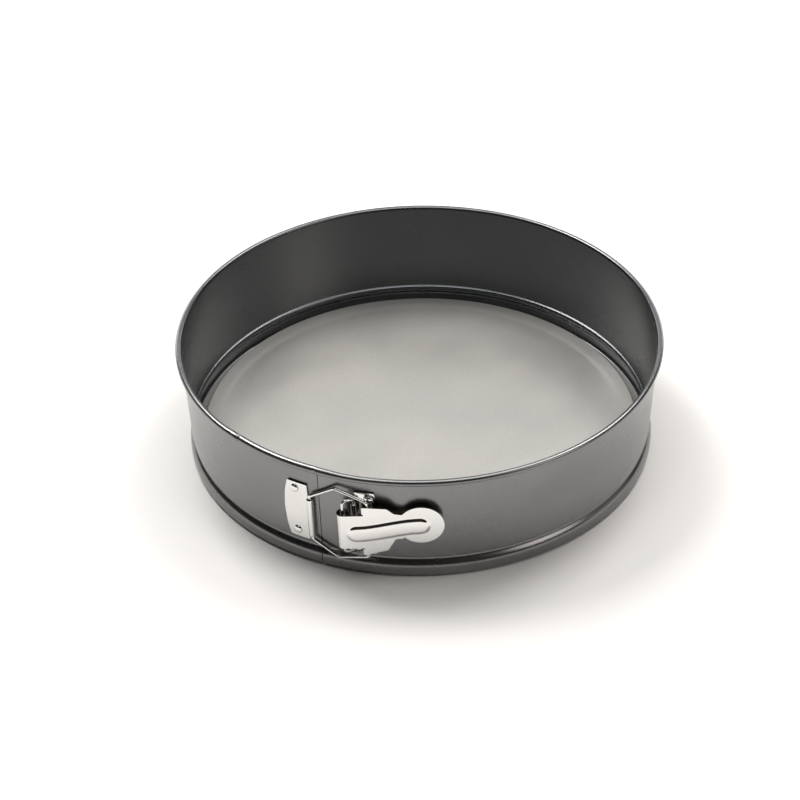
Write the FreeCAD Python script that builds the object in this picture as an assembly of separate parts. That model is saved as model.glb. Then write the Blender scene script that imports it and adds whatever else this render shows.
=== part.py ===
import FreeCAD, Part
import math
import os

# Springform pan, millimetres. The origin is the middle of the circle on which the pan stands, +Z is up,
# and the latch is at the front, on -Y. A bearing is counted in degrees from the front towards +X.

Vector = FreeCAD.Vector
Z_AXIS = Vector(0, 0, 1)
CENTRE = Vector(0, 0, 0)

# Band: one strip of sheet steel. SKIRT_R, CREASE_R and RIM_WALL_R are mid-sheet radii.
SHEET = 0.5
SKIRT_R = 128.6
LIP_WIDTH = 2.0
FOOT_BEND_R = 2.0
SKIRT_RISE = 3.5
SHOULDER_R = 4.5
SHOULDER_TURN = 45.0
SHOULDER_RUN = 0.55
CREASE_IN_R = 3.05
CREASE_RUN = 2.6
WALL_BEND_R = 3.0
WALL_LEAN = 3.0
RIM_Z = 64.3
RIM_CURL_R = 1.45
RIM_CURL_TURN = 300.0

# The crease's inner edge, a crisp ledge on the band and a softer one on the tongue:
# tip radius, tip turn, radius of the bend above it, and lean of the flank above that.
CRISP_CREASE = (0.8, 80.0, 0.7, 10.0)
SOFT_CREASE = (1.2, 30.0, 3.0, 22.0)

# Where the ends of the strip overlap: the right end runs on inside the left end as a tongue.
TONGUE_BEARING = -21.2
TONGUE_INSET = 0.85
TONGUE_CURL_R = 1.75
TONGUE_CURL_TURN = 250.0
TUCKED_CURL_R = 0.85
JOGGLE_SPAN = 0.6
FLEX_BEARING = 90.0
FLEX_GAP = 0.05

# Base: a disc whose raised floor steps down to a flange that sits under the crease, on the lip.
BASE_SHEET = 0.6
BASE_R = 126.9
BASE_Z = 0.6
FLOOR_R = 121.3
FLOOR_Z = 7.4
BASE_INNER_BEND_R = 0.9
BASE_OUTER_BEND_R = 0.8
FLOOR_RING_R = 113.0
FLOOR_RING_DROP = 0.12
FLOOR_RING_WIDTH = 6.0

# Latch frame: the plan of the latch is drawn level, then leans outward with the wall about this point.
LATCH_Z = 35.0
WALL_R = 129.0
LEAN_POINT = Vector(0, -WALL_R, LATCH_Z)
SEAT_GAP = 0.3
PLATE = 0.8
EYE_SHEET = 0.65
PIN_PLAY = 0.2
BAIL_WIRE_R = 0.9
LINK_WIRE_R = 0.8

# Latch axes, as bearing and radius: the bail's eye, the link's eye and the lever's pin.
BAIL_EYE = (-1.9, 130.8)
LINK_EYE = (8.8, 130.75)
LEVER_PIN = (6.73, 135.02)
TAB_POINT = (23.9, 132.4)

# Strike plate and bracket: heights and widths in the latch frame, which every height below is counted in too.
STRIKE_TOP = 17.4
STRIKE_BOTTOM = -19.5
STRIKE_LEFT = -17.7
STRIKE_BULGE = 2.7
STRIKE_RIGHT = -6.8
STRIKE_EYE_TOP = 9.4
STRIKE_EYE_BOTTOM = -15.0
BRACKET_TOP = 20.3
BRACKET_BOTTOM = -20.8
BRACKET_RIGHT = 30.1
BRACKET_BULGE = 2.8
BRACKET_LEFT = 19.4
BRACKET_EAR = 2.5
BRACKET_SLOT = 22.0
BRACKET_EYE_TOP = 13.4
BRACKET_EYE_BOTTOM = -14.6

# Rivets: bearing, upper height and lower height of each pair.
RIVET_R = 1.5
RIVET_HEAD_R = 2.4
RIVET_HEAD = 1.2
RIVET_TAIL_R = 2.5
RIVET_TAIL = 0.45
STRIKE_RIVETS = (-5.9, 13.4, -14.9)
BRACKET_RIVETS = (12.1, 16.0, -16.4)

# Bail: a six-sided loop of wire. Link: a small upright loop of wire. Each pair is (top, bottom).
BAIL_EYE_SPAN = (11.5, -17.1)
BAIL_WIDE_AT = 14.6
BAIL_WIDE_SPAN = (21.3, -25.6)
BAIL_END_SPAN = (17.3, -19.9)
BAIL_BEND_R = 2.2
LINK_EYE_SPAN = (15.9, -17.1)
LINK_PIN_SPAN = (17.2, -17.9)
LINK_BEND_R = 2.2

# Lever, in its own frame: x from its pin towards the thumb tab, y outward, z along the pin.
LEVER_FACE = 2.9
LEVER_ROLL_TURN = 262.0
LEVER_BODY_SPAN = (9.6, -12.4)
WING_START = 9.7
WING_SPAN = (15.0, -17.0)
WING_END = 22.5
WING_END_SPAN = (13.9, -14.1)
NECK_START = 26.5
NECK_SPAN = (10.2, -6.4)
TAB_R = 11.9
TAB_HEIGHT = 2.6
LIP_DEPTH = 2.0
LIP_WIDTH_ALONG = 3.4
RIB_START = 6.6
RIB_END = 39.6
RIB_START_HEIGHT = -2.4
RIB_END_HEIGHT = 2.1
RIB_HALF = 4.6
RIB_HEIGHT = 1.1
RIB_STEPS = 10
HOOK_X = 12.4
HOOK_PLAY = 0.15


def polar(bearing, radius):
    """Plan point (u, n) at a bearing and a radius: u is towards +X and n is outward, towards -Y."""
    angle = math.radians(bearing)
    return (radius * math.sin(angle), radius * math.cos(angle))


def turned(point, angle):
    """Plan point turned about zero, from u towards n."""
    c = math.cos(math.radians(angle))
    s = math.sin(math.radians(angle))
    return (c * point[0] - s * point[1], s * point[0] + c * point[1])


def trace(start, heading, steps, side, place):
    """Edges of a path of ("line", length) and ("arc", radius, turn) steps, moved sideways by side to its left."""
    x, y = start
    edges = []
    ends = []
    for step in steps:
        a = math.radians(heading)
        left = (-math.sin(a), math.cos(a))
        if step[0] == "line":
            first = (x + side * left[0], y + side * left[1])
            x += step[1] * math.cos(a)
            y += step[1] * math.sin(a)
            last = (x + side * left[0], y + side * left[1])
            edges.append(Part.LineSegment(place(*first), place(*last)).toShape())
        else:
            sign = 1.0 if step[2] > 0 else -1.0
            cx = x + sign * step[1] * left[0]
            cy = y + sign * step[1] * left[1]
            reach = step[1] - sign * side
            points = []
            for part in (0.0, 0.5, 1.0):
                b = math.radians(heading + part * step[2])
                points.append((cx + sign * reach * math.sin(b), cy - sign * reach * math.cos(b)))
            edges.append(Part.Arc(*[place(*p) for p in points]).toShape())
            first, last = points[0], points[2]
            heading += step[2]
            b = math.radians(heading)
            x = cx + sign * step[1] * math.sin(b)
            y = cy - sign * step[1] * math.cos(b)
        ends += [first, last]
    return edges, ends[0], ends[-1]


def strip_face(start, heading, steps, inner, outer, place):
    """Face of a bent strip: its path thickened by inner to the left and by outer to the right."""
    left_edges, left_start, left_end = trace(start, heading, steps, inner, place)
    right_edges, right_start, right_end = trace(start, heading, steps, -outer, place)
    tail = Part.LineSegment(place(*left_start), place(*right_start)).toShape()
    tip = Part.LineSegment(place(*left_end), place(*right_end)).toShape()
    loop = Part.Wire(Part.__sortEdges__(left_edges + [tip] + right_edges + [tail]))
    return Part.Face(loop)


def in_section(r, z):
    return Vector(r, 0, z)


def in_plan(u, n):
    return Vector(u, -n, 0)


def in_front(u, w):
    return Vector(u, 0, w)


def swept(face, first, last):
    """A section turned about the pan's axis from one bearing to another."""
    turned_face = face.copy()
    turned_face.rotate(CENTRE, Z_AXIS, first - 90.0)
    return turned_face.revolve(CENTRE, Z_AXIS, last - first)


def band_path(curl_r, curl_turn, crease):
    """Start and steps of the band's section from its bottom lip up to its curled rim."""
    tip_r, tip_turn, bend_r, flank_lean = crease
    steps = [
        ("line", LIP_WIDTH),
        ("arc", FOOT_BEND_R, 90.0),
        ("line", SKIRT_RISE),
        ("arc", SHOULDER_R, SHOULDER_TURN),
        ("line", SHOULDER_RUN),
        ("arc", CREASE_IN_R, -SHOULDER_TURN),
        ("arc", tip_r, -tip_turn),
        ("arc", bend_r, tip_turn - flank_lean),
        ("line", CREASE_RUN),
        ("arc", WALL_BEND_R, flank_lean - WALL_LEAN),
    ]
    start = (SKIRT_R - FOOT_BEND_R - LIP_WIDTH, SHEET / 2)
    top = trace(start, 0.0, steps, 0.0, in_section)[2]
    steps.append(("line", (RIM_Z - top[1]) / math.cos(math.radians(WALL_LEAN))))
    steps.append(("arc", curl_r, -curl_turn))
    return start, steps


def band_face(curl_r=RIM_CURL_R):
    start, steps = band_path(curl_r, RIM_CURL_TURN, CRISP_CREASE)
    return strip_face(start, 0.0, steps, SHEET / 2, SHEET / 2, in_section)


def tongue_face():
    """The tongue's section: the band's own path, set inward, with a softer crease and a wider curl."""
    start, steps = band_path(TONGUE_CURL_R - TONGUE_INSET, TONGUE_CURL_TURN, SOFT_CREASE)
    return strip_face(start, 0.0, steps, SHEET / 2 + TONGUE_INSET, SHEET / 2 - TONGUE_INSET, in_section)


def joggle_face():
    """The thick step, up to the rim's curl, by which the right end moves in to become the tongue."""
    start, steps = band_path(RIM_CURL_R, RIM_CURL_TURN, SOFT_CREASE)
    return strip_face(start, 0.0, steps[:-1], SHEET / 2 + TONGUE_INSET, SHEET / 2, in_section)


def lean(shape):
    """Lean a latch piece outward with the wall."""
    shape.rotate(LEAN_POINT, Vector(1, 0, 0), WALL_LEAN)
    return shape


def front_cutter(points, bulge=None):
    """A block with the given front outline; bulge is a middle point for its last side, which is then an arc."""
    corners = [in_front(*p) for p in points]
    edges = [Part.LineSegment(a, b).toShape() for a, b in zip(corners, corners[1:])]
    if bulge:
        edges.append(Part.Arc(corners[-1], in_front(*bulge), corners[0]).toShape())
    else:
        edges.append(Part.LineSegment(corners[-1], corners[0]).toShape())
    block = Part.Face(Part.Wire(edges)).extrude(Vector(0, -WALL_R, 0))
    block.translate(Vector(0, -WALL_R / 2, LATCH_Z))
    return block


def rivet_place(shape, bearing):
    """Put a piece made at the front, square to the wall, at its bearing."""
    lean(shape)
    shape.rotate(CENTRE, Z_AXIS, bearing)
    return shape


def rivet_shank(bearing, height, radius=RIVET_R):
    depth = SHEET + SEAT_GAP + PLATE
    base = Vector(0, -WALL_R + SHEET, LATCH_Z + height)
    return rivet_place(Part.makeCylinder(radius, depth, base, Vector(0, -1, 0)), bearing)


def rivet(bearing, height, tail):
    """A domed rivet; tail is True where a flat head can stand inside the wall."""
    shank = rivet_shank(bearing, height)
    outside = -WALL_R - SEAT_GAP - PLATE
    ball_r = (RIVET_HEAD_R ** 2 + RIVET_HEAD ** 2) / (2 * RIVET_HEAD)
    ball = Part.makeSphere(ball_r, Vector(0, outside + ball_r - RIVET_HEAD, LATCH_Z + height))
    cap = Part.makeCylinder(RIVET_HEAD_R, RIVET_HEAD, Vector(0, outside, LATCH_Z + height), Vector(0, -1, 0))
    solid = shank.fuse(rivet_place(ball.common(cap), bearing))
    if tail:
        base = Vector(0, -WALL_R + SHEET, LATCH_Z + height)
        solid = solid.fuse(rivet_place(Part.makeCylinder(RIVET_TAIL_R, RIVET_TAIL, base, Vector(0, 1, 0)), bearing))
    return solid.removeSplitter()


def rivet_pair(pair):
    return [(pair[0], pair[1]), (pair[0], pair[2])]


def drilled(shape, pair):
    for bearing, height in rivet_pair(pair):
        shape = shape.cut(rivet_shank(bearing, height))
    return shape


def band_back():
    return swept(band_face(), FLEX_BEARING + FLEX_GAP / 2, 360.0 - FLEX_BEARING - FLEX_GAP / 2)


def band_right():
    """The right front quarter, with the tongue that runs on inside the left one."""
    quarter = swept(band_face(), 0.05, FLEX_BEARING - FLEX_GAP / 2)
    joggle = swept(joggle_face(), 0.05, JOGGLE_SPAN)
    tongue = swept(tongue_face(), TONGUE_BEARING, JOGGLE_SPAN)
    foot = Part.makeCylinder(SKIRT_R + FOOT_BEND_R, FOOT_BEND_R + SHEET / 2)
    overlap = joggle.fuse(tongue).cut(foot)
    return drilled(quarter.fuse(overlap), BRACKET_RIVETS)


def band_left():
    """The left front quarter; over the tongue its rim is a tighter curl that tucks into the tongue's."""
    full = swept(band_face(), FLEX_GAP / 2 - FLEX_BEARING, TONGUE_BEARING - FLEX_GAP)
    tucked = swept(band_face(TUCKED_CURL_R), TONGUE_BEARING - FLEX_GAP, 0.0)
    return drilled(full.fuse(tucked), STRIKE_RIVETS)


def base_plate():
    """The base disc: flange, step up, raised floor and a shallow ring near its edge."""
    bend_in = 90.0
    flat = BASE_R - FLOOR_R - BASE_INNER_BEND_R
    rise = FLOOR_Z - BASE_SHEET / 2 - BASE_Z - BASE_SHEET / 2 - BASE_INNER_BEND_R - BASE_OUTER_BEND_R
    ring_turn = math.degrees(2 * math.atan(2 * FLOOR_RING_DROP / FLOOR_RING_WIDTH))
    ring_bend = FLOOR_RING_WIDTH / 2 / math.sin(math.radians(ring_turn))
    steps = [
        ("line", flat),
        ("arc", BASE_INNER_BEND_R, -bend_in),
        ("line", rise),
        ("arc", BASE_OUTER_BEND_R, bend_in),
        ("line", FLOOR_R - BASE_OUTER_BEND_R - FLOOR_RING_R - FLOOR_RING_WIDTH / 2),
        ("arc", ring_bend, ring_turn),
        ("arc", ring_bend, -ring_turn),
        ("line", FLOOR_RING_R - FLOOR_RING_WIDTH / 2),
    ]
    face = strip_face((BASE_R, BASE_Z + BASE_SHEET / 2), 180.0, steps, BASE_SHEET / 2, BASE_SHEET / 2, in_section)
    return face.revolve(CENTRE, Z_AXIS, 360.0)


def upright_cylinder(radius, centre, span):
    """A cylinder along the latch frame's height, between the (top, bottom) of its span."""
    return Part.makeCylinder(radius, span[0] - span[1], centre + Vector(0, 0, LATCH_Z + span[1]))


def eye_plate(eye, wire_r, span, eye_span, bearings):
    """A plate that follows the wall between two bearings and, over eye_span, rolls outward round a wire."""
    side = 1.0 if sum(bearings) > 2 * eye[0] else -1.0
    bore_r = wire_r + PIN_PLAY
    inner_r = WALL_R + SEAT_GAP
    shell = upright_cylinder(inner_r + PLATE, CENTRE, span).cut(upright_cylinder(inner_r, CENTRE, span))
    first, last = sorted(bearings)
    wedge = Part.makeCylinder(2 * WALL_R, 2 * WALL_R, CENTRE, Z_AXIS, last - first)
    wedge.rotate(CENTRE, Z_AXIS, first - 90.0)
    centre = in_plan(*polar(*eye))
    tall = eye_span[0] - eye_span[1]
    seam = Part.makeBox(bore_r + 2 * EYE_SHEET, EYE_SHEET / 2, tall)
    seam.translate(Vector(0, -EYE_SHEET / 4, LATCH_Z + eye_span[1]))
    seam.rotate(CENTRE, Z_AXIS, eye[0] if side > 0 else eye[0] + 180.0)
    seam.translate(centre + in_plan(*polar(eye[0], EYE_SHEET / 2)))
    solid = shell.common(wedge).fuse(upright_cylinder(bore_r + EYE_SHEET, centre, eye_span))
    return solid.cut(upright_cylinder(bore_r, centre, eye_span)).cut(seam).removeSplitter()


def plan_bearing(u):
    """Bearing of a point of the wall that lies u to the right of the middle."""
    return math.degrees(math.asin(u / WALL_R))


def strike_plate():
    """Plate on the left end of the band; its eye holds the bail."""
    far = plan_bearing(STRIKE_LEFT - 2 * STRIKE_BULGE)
    span = (STRIKE_TOP, STRIKE_BOTTOM)
    eye_span = (STRIKE_EYE_TOP, STRIKE_EYE_BOTTOM)
    solid = eye_plate(BAIL_EYE, BAIL_WIRE_R, span, eye_span, (far, BAIL_EYE[0]))
    outline = [
        (STRIKE_LEFT, STRIKE_TOP),
        (STRIKE_RIGHT, STRIKE_TOP),
        (STRIKE_RIGHT + 0.5, STRIKE_EYE_TOP),
        (0.0, STRIKE_EYE_TOP),
        (0.0, STRIKE_EYE_BOTTOM),
        (STRIKE_RIGHT + 0.5, STRIKE_EYE_BOTTOM),
        (STRIKE_RIGHT - 0.3, STRIKE_BOTTOM),
        (STRIKE_LEFT, STRIKE_BOTTOM),
    ]
    middle = (STRIKE_TOP + STRIKE_BOTTOM) / 2
    solid = solid.common(front_cutter(outline, (STRIKE_LEFT - STRIKE_BULGE, middle)))
    return drilled(lean(solid), STRIKE_RIVETS)


def bracket():
    """Plate on the right end of the band, behind the lever; its eye holds the link, between two ears."""
    far = plan_bearing(BRACKET_RIGHT + 2 * BRACKET_BULGE)
    span = (BRACKET_TOP, BRACKET_BOTTOM)
    eye_span = (BRACKET_EYE_TOP, BRACKET_EYE_BOTTOM)
    solid = eye_plate(LINK_EYE, LINK_WIRE_R, span, eye_span, (plan_bearing(BRACKET_LEFT), far))
    eye_side = BRACKET_LEFT - 2.0
    outline = [
        (BRACKET_RIGHT, BRACKET_BOTTOM),
        (BRACKET_LEFT, BRACKET_BOTTOM),
        (BRACKET_LEFT, BRACKET_BOTTOM + BRACKET_EAR),
        (BRACKET_SLOT, BRACKET_BOTTOM + BRACKET_EAR),
        (BRACKET_SLOT, BRACKET_EYE_BOTTOM),
        (eye_side, BRACKET_EYE_BOTTOM),
        (eye_side, BRACKET_EYE_TOP),
        (BRACKET_SLOT, BRACKET_EYE_TOP),
        (BRACKET_SLOT, BRACKET_TOP - BRACKET_EAR),
        (BRACKET_LEFT, BRACKET_TOP - BRACKET_EAR),
        (BRACKET_LEFT, BRACKET_TOP),
        (BRACKET_RIGHT, BRACKET_TOP),
    ]
    middle = (BRACKET_TOP + BRACKET_BOTTOM) / 2
    solid = solid.common(front_cutter(outline, (BRACKET_RIGHT + BRACKET_BULGE, middle)))
    return drilled(lean(solid), BRACKET_RIVETS)


def bent_wire(corners, bend_r, wire_r):
    """A closed loop of round wire: straight runs joined by bends of one radius."""
    count = len(corners)
    pieces = []
    cuts = []
    for i in range(count):
        corner = corners[i]
        back = (corners[i - 1] - corner).normalize()
        ahead = (corners[(i + 1) % count] - corner).normalize()
        half = back.getAngle(ahead) / 2
        reach = bend_r / math.tan(half)
        centre = corner + (back + ahead).normalize() * (bend_r / math.sin(half))
        first = corner + back * reach
        last = corner + ahead * reach
        disc = Part.Face(Part.Wire(Part.Circle(first, back, wire_r).toShape()))
        axis = (first - centre).cross(last - centre)
        turn = math.degrees((first - centre).getAngle(last - centre))
        pieces.append(disc.revolve(centre, axis, turn))
        cuts.append((first, last))
    for i in range(count):
        first = cuts[i][1]
        last = cuts[(i + 1) % count][0]
        pieces.append(Part.makeCylinder(wire_r, (last - first).Length, first, last - first))
    return pieces[0].fuse(pieces[1:]).removeSplitter()


def lever_angle():
    """The way the closed lever points in plan, from +X towards outward."""
    pin = polar(*LEVER_PIN)
    tab = polar(*TAB_POINT)
    reach = math.hypot(tab[0] - pin[0], tab[1] - pin[1])
    straight = math.degrees(math.atan2(tab[1] - pin[1], tab[0] - pin[0]))
    return straight - math.degrees(math.asin(LEVER_FACE / reach)), math.sqrt(reach ** 2 - LEVER_FACE ** 2)


def lever_point(x, y):
    """Plan point of the closed lever's frame."""
    angle, _ = lever_angle()
    pin = polar(*LEVER_PIN)
    step = turned((x, y), angle)
    return (pin[0] + step[0], pin[1] + step[1])


def upright_loop(line, bend_r, wire_r):
    """A wire loop up through plan points and back, each with its (top, bottom) pair of heights."""
    upper = [(point, span[0]) for point, span in line]
    lower = [(point, span[1]) for point, span in reversed(line)]
    corners = [in_plan(*point) + Vector(0, 0, LATCH_Z + height) for point, height in upper + lower]
    return lean(bent_wire(corners, bend_r, wire_r))


def between(a, b, distance):
    span = math.hypot(b[0] - a[0], b[1] - a[1])
    return (a[0] + (b[0] - a[0]) * distance / span, a[1] + (b[1] - a[1]) * distance / span)


def bail():
    """The six-sided wire loop from the strike plate's eye to the lever's wings."""
    eye = polar(*BAIL_EYE)
    hook = lever_point(HOOK_X, LEVER_FACE - PLATE / 2 - BAIL_WIRE_R - HOOK_PLAY)
    wide = between(eye, hook, BAIL_WIDE_AT)
    line = [(eye, BAIL_EYE_SPAN), (wide, BAIL_WIDE_SPAN), (hook, BAIL_END_SPAN)]
    return upright_loop(line, BAIL_BEND_R, BAIL_WIRE_R)


def link():
    """The upright wire loop that joins the bracket's eye to the lever's roll."""
    eye = polar(*LINK_EYE)
    pin = polar(*LEVER_PIN)
    return upright_loop([(eye, LINK_EYE_SPAN), (pin, LINK_PIN_SPAN)], LINK_BEND_R, LINK_WIRE_R)


def rib_height(x):
    """Height of the rib's middle line, which climbs in an S from the roll to the tab."""
    t = (x - RIB_START) / (RIB_END - RIB_START)
    return RIB_START_HEIGHT + (RIB_END_HEIGHT - RIB_START_HEIGHT) * t * t * (3 - 2 * t)


def lever_rib():
    """The raised rib's pieces, with round ends, standing on the middle of the lever's sheet."""
    depth = Vector(0, -PLATE / 2 - RIB_HEIGHT, 0)
    pieces = []
    points = []
    for i in range(RIB_STEPS + 1):
        x = RIB_START + (RIB_END - RIB_START) * i / RIB_STEPS
        points.append(Vector(x, -LEVER_FACE, rib_height(x)))
        pieces.append(Part.makeCylinder(RIB_HALF, depth.Length, points[-1], depth))
    for a, b in zip(points, points[1:]):
        run = b - a
        side = Vector(-run.z, 0, run.x).normalize() * RIB_HALF
        outline = Part.makePolygon([a - side, a + side, b + side, b - side, a - side])
        pieces.append(Part.Face(outline).extrude(depth))
    return pieces


def lever_outline(length):
    """Front outline of the lever's blank: body, wings, neck and the start of the tab."""
    right_side = [
        (WING_END, WING_END_SPAN),
        (NECK_START, NECK_SPAN),
        (length, NECK_SPAN),
    ]
    left_side = [
        (-2 * LEVER_FACE, LEVER_BODY_SPAN),
        (WING_START, LEVER_BODY_SPAN),
        (WING_START, WING_SPAN),
    ]
    line = left_side + right_side
    top = [(x, span[0]) for x, span in line]
    bottom = [(x, span[1]) for x, span in reversed(line)]
    return top + bottom + top[:1]


def lever():
    """The stamped lever: roll round the link, body, two wings with hooked edges, neck, round tab and rib."""
    angle, reach = lever_angle()
    tall = WING_SPAN[0] - WING_SPAN[1]
    deep = 4 * LEVER_FACE
    steps = [("line", reach + TAB_R), ("arc", LEVER_FACE, LEVER_ROLL_TURN)]
    plan = strip_face((reach + TAB_R, LEVER_FACE), 180.0, steps, PLATE / 2, PLATE / 2, in_plan)
    sheet = plan.extrude(Vector(0, 0, tall))
    sheet.translate(Vector(0, 0, WING_SPAN[1]))
    blank = Part.Face(Part.makePolygon([in_front(*p) for p in lever_outline(reach)]))
    blank.translate(Vector(0, deep / 2, 0))
    tab = Part.makeCylinder(TAB_R, deep, Vector(reach, -deep / 2, TAB_HEIGHT), Vector(0, 1, 0))
    solid = sheet.common(blank.extrude(Vector(0, -deep, 0)).fuse(tab))
    for edge, side in zip(WING_SPAN, (-1, 1)):
        lip = Part.makeBox(PLATE, LIP_DEPTH, LIP_WIDTH_ALONG)
        lip.translate(Vector(WING_START, -LEVER_FACE, min(edge, edge + side * LIP_WIDTH_ALONG)))
        solid = solid.fuse(lip)
    solid = solid.fuse(lever_rib()).removeSplitter()
    solid.rotate(CENTRE, Z_AXIS, -angle)
    solid.translate(in_plan(*polar(*LEVER_PIN)) + Vector(0, 0, LATCH_Z))
    return lean(solid)


def save(name, shape):
    if not shape.isValid():
        raise ValueError(name + " is not a valid shape")
    print(name, "solids", len(shape.Solids), "volume", round(shape.Volume, 1))
    shape.exportStep(os.path.join("parts", name + ".step"))


def main():
    os.makedirs("parts", exist_ok=True)
    save("base_plate", base_plate())
    save("band_back", band_back())
    save("band_left", band_left())
    save("band_right", band_right())
    save("strike_plate", strike_plate())
    save("bracket", bracket())
    save("bail", bail())
    save("link", link())
    save("lever", lever())
    for name, pair, tail in (("strike_rivet", STRIKE_RIVETS, False), ("bracket_rivet", BRACKET_RIVETS, True)):
        for place, (bearing, height) in zip(("upper", "lower"), rivet_pair(pair)):
            save(name + "_" + place, rivet(bearing, height, tail))


main()
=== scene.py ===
import math
import bmesh
import bpy
from mathutils import Matrix, Vector
from mathutils.geometry import delaunay_2d_cdt


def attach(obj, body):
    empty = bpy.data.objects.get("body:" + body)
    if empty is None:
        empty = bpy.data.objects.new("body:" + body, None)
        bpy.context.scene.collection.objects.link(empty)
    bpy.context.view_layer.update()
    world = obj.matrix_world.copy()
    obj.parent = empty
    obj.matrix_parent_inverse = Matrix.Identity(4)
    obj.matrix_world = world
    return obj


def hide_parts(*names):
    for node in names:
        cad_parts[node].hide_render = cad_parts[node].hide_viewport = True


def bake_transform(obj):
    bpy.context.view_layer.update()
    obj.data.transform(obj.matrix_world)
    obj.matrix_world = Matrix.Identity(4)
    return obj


# Springform pan. Lengths in this file are millimetres, and bearings are degrees from the front, -Y,
# towards +X. MM turns lengths into the frame's metres when a mesh is made.
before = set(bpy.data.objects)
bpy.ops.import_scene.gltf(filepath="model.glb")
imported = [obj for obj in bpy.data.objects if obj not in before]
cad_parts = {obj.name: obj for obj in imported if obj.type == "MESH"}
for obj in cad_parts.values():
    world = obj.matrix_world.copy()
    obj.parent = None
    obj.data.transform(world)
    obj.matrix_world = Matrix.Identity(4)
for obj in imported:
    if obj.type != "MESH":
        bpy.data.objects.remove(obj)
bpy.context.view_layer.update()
MM = 0.001

# Camera: distance from the origin, height above the floor plane, bearing, and small turns about its own axes.
CAMERA_DISTANCE = 1349.0
CAMERA_HEIGHT = 36.84
CAMERA_BEARING = 24.12
CAMERA_YAW = 0.483
CAMERA_PITCH = 0.692
CAMERA_ROLL = 0.990
CAMERA_LENS = 107.75
LIGHT_DISTANCE = 1500.0

# Band section, mid-sheet radii.
SHEET = 0.5
SKIRT_R = 128.6
LIP_WIDTH = 2.0
FOOT_BEND_R = 2.0
SKIRT_RISE = 3.5
SHOULDER_R = 4.5
SHOULDER_TURN = 45.0
SHOULDER_RUN = 0.55
CREASE_IN_R = 3.05
CREASE_RUN = 2.6
WALL_BEND_R = 3.0
WALL_LEAN = 3.0
RIM_Z = 64.3
RIM_CURL_R = 1.45
RIM_CURL_TURN = 300.0
# The crease's inner edge, a crisp ledge on the band and a softer one on the tongue:
# tip radius, tip turn, radius of the bend above it, and lean of the flank above that.
CRISP_CREASE = (1.2, 80.0, 0.7, 3.5)
SOFT_CREASE = (1.2, 30.0, 3.0, 22.0)
RIM_POINTS = 40
NECK_HEIGHT = 4.0

# Where the ends overlap, from TONGUE_TIP to the seam at 0: the right end is a tongue inside the left end, its
# rim a wide curl round the left end's tucked one. On both sides the rim widens to meet it, over RIM_EASE.
TONGUE_TIP = -21.2
TONGUE_INSET = 0.85
TONGUE_CURL_TURN = 255.0
WIDE_CURL_R = 1.75
TUCKED_CURL_R = 0.85
TUCK_START, TUCK_END = -21.6, -21.3
JOGGLE_START, JOGGLE_END = 0.2, 0.05
RIM_EASE = 8.0
BAND_STEP = 1.5

# Base plate section.
BASE_SHEET = 0.6
BASE_R = 126.9
BASE_Z = 0.6
FLOOR_R = 121.3
FLOOR_Z = 7.4
BASE_INNER_BEND_R = 0.9
BASE_OUTER_BEND_R = 0.8
FLOOR_RING_R = 113.0
FLOOR_RING_DROP = 0.12
FLOOR_RING_WIDTH = 6.0
FLOOR_MIDDLE_R = 0.5

# Latch frame: level plan, then leaned outward with the wall. Heights in it are over LATCH_Z, and each plan
# point is a bearing and a radius. A span is the (top, bottom) pair of heights of an upright piece.
LATCH_Z = 35.0
WALL_R = 129.0
LEVER_SHEET = 0.75
EYE_SHEET = 0.7
SEAT_GAP = 0.3
SEAT_RUN = 1.5
PIN_PLAY = 0.15
EYE_TURN = 285.0
BAIL_WIRE_R = 0.9
LINK_WIRE_R = 0.8
BAIL_EYE = (-1.9, 130.8)
LINK_EYE = (8.8, 130.75)
LEVER_PIN = (6.73, 135.02)
TAB_POINT = (23.9, 132.4)

# Strike plate and bracket: heights, and lengths along the wall from where the roll begins.
PLATE_GRID = 0.75
PLATE_EDGE_R = 0.16
STRIKE_SPAN = (17.4, -19.5)
STRIKE_EYE_SPAN = (9.4, -15.0)
STRIKE_STEP = -1.9
STRIKE_FAR = -13.4
STRIKE_BULGE = 2.7
BRACKET_SPAN = (20.3, -20.8)
BRACKET_EYE_SPAN = (13.4, -14.6)
BRACKET_EAR = 0.3
BRACKET_EAR_HEIGHT = 2.5
BRACKET_SLOT = -2.2
BRACKET_FAR = -10.5
BRACKET_BULGE = 2.8

# Wires: spans of the bail at its eye, where it is widest and at the hook, and of the link at both ends.
WIRE_BEND_R = 2.2
BAIL_EYE_SPAN = (11.5, -17.1)
BAIL_WIDE_AT = 14.6
BAIL_WIDE_SPAN = (21.3, -25.6)
BAIL_END_SPAN = (17.3, -19.9)
HOOK_AT = 12.4
HOOK_DEPTH = 0.4
LINK_EYE_SPAN = (15.9, -17.1)
LINK_PIN_SPAN = (17.2, -17.9)

# Lever: s runs along it from its pin and w up it. Its face lies LEVER_FACE outward of the pin.
LEVER_FACE = 2.9
LEVER_GRID = 0.5
LEVER_EDGE_R = 0.2
ROLL_TURN = 262.0
BODY_TOP, BODY_BOTTOM = 9.6, -12.4
BODY_NOTCH = 0.9
WING_START = 9.7
WING_TOP, WING_BOTTOM = 15.0, -17.0
LIP_BEND_R = 0.7
LIP_DEPTH = 2.0
LIP_MARGIN = 0.3
RIB_START, RIB_END = 6.8, 39.4
RIB_LOW, RIB_HIGH = -2.4, 2.1
RIB_CROWN_HALF, RIB_BASE_HALF = 3.2, 5.4
RIB_HEIGHT = 1.1
RIB_CROWN = 0.12
TAB_R = 11.9
TAB_HEIGHT = 2.6
TAB_OPENING = 138.0
TAB_POINTS = 25

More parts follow.
